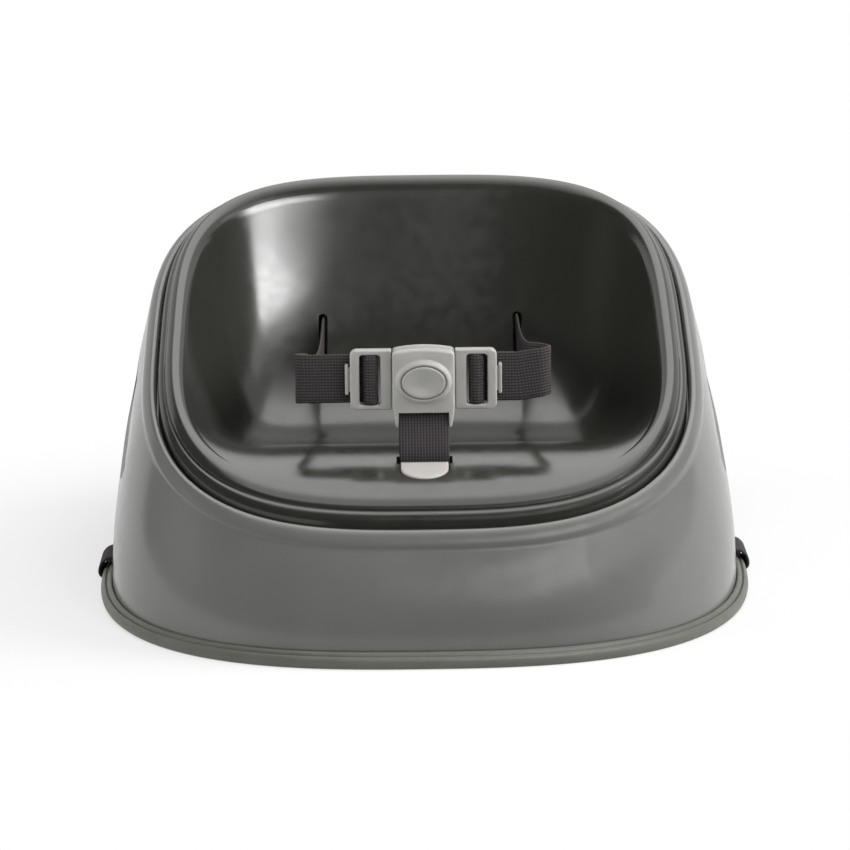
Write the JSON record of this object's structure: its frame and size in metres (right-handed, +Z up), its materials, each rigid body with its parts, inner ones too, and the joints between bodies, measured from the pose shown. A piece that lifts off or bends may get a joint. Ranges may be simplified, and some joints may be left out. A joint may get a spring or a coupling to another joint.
{
  "type": "chair booster seat",
  "caption": "Glossy bucket-shaped child booster seat on a hollow tapered base with a rubber foot ring, a waist and crotch harness with a push-button buckle, and chair straps.",
  "frame": {"origin": "centre of the footprint on the floor", "axes": "+Z up, -Y towards the front of the seat, +X to the viewer's right when facing the front"},
  "size_m": [0.3348, 0.328, 0.1836],
  "materials": {
    "base_plastic": "polished",
    "liner_skin": "smooth glossy skin",
    "ring_rubber": "satin",
    "pan_plastic": "matte",
    "steel": "zinc plated",
    "fitting_plastic": "satin",
    "button_plastic": "satin",
    "plate_plastic": "satin",
    "webbing": "woven",
    "dark_plastic": "satin"
  },
  "bodies": {
    "seat": {"base_shell": "base_plastic", "foot_ring": "ring_rubber", "seat_liner": "liner_skin", "seat_pan": "pan_plastic", "pan_screw_1": "steel", "pan_screw_2": "steel", "pan_screw_3": "steel", "pan_screw_4": "steel", "waist_anchor_left": "fitting_plastic", "waist_anchor_right": "fitting_plastic", "crotch_anchor": "plate_plastic", "waist_strap_left": "webbing", "waist_strap_right": "webbing", "crotch_strap": "webbing", "chair_strap_left": "webbing", "chair_strap_right": "webbing", "buckle_front_shell": "fitting_plastic", "buckle_back_shell": "fitting_plastic", "button_spring": "steel", "chair_buckle_socket": "dark_plastic"},
    "button": {"release_button": "button_plastic"},
    "left_tongue": {"tongue_left": "fitting_plastic"},
    "right_tongue": {"tongue_right": "fitting_plastic"},
    "plug": {"chair_buckle_plug": "dark_plastic"}
  },
  "joints": [
    {"name": "button_press", "type": "slide", "parent": "seat", "child": "button", "axis": [0, 1, 0], "range_m": [0, 0.0025], "stiffness_N_per_m": 1200, "deforming": ["button_spring"]},
    {"name": "tongue_left_slide", "type": "slide", "parent": "seat", "child": "left_tongue", "axis": [-1, 0, 0], "range_m": [0, 0.02], "deforming": ["waist_strap_left"]},
    {"name": "tongue_right_slide", "type": "slide", "parent": "seat", "child": "right_tongue", "axis": [1, 0, 0], "range_m": [0, 0.02], "deforming": ["waist_strap_right"]},
    {"name": "chair_plug_slide", "type": "slide", "parent": "seat", "child": "plug", "axis": [-1, 0, 0], "range_m": [0, 0.022], "deforming": ["chair_strap_left"]}
  ]
}
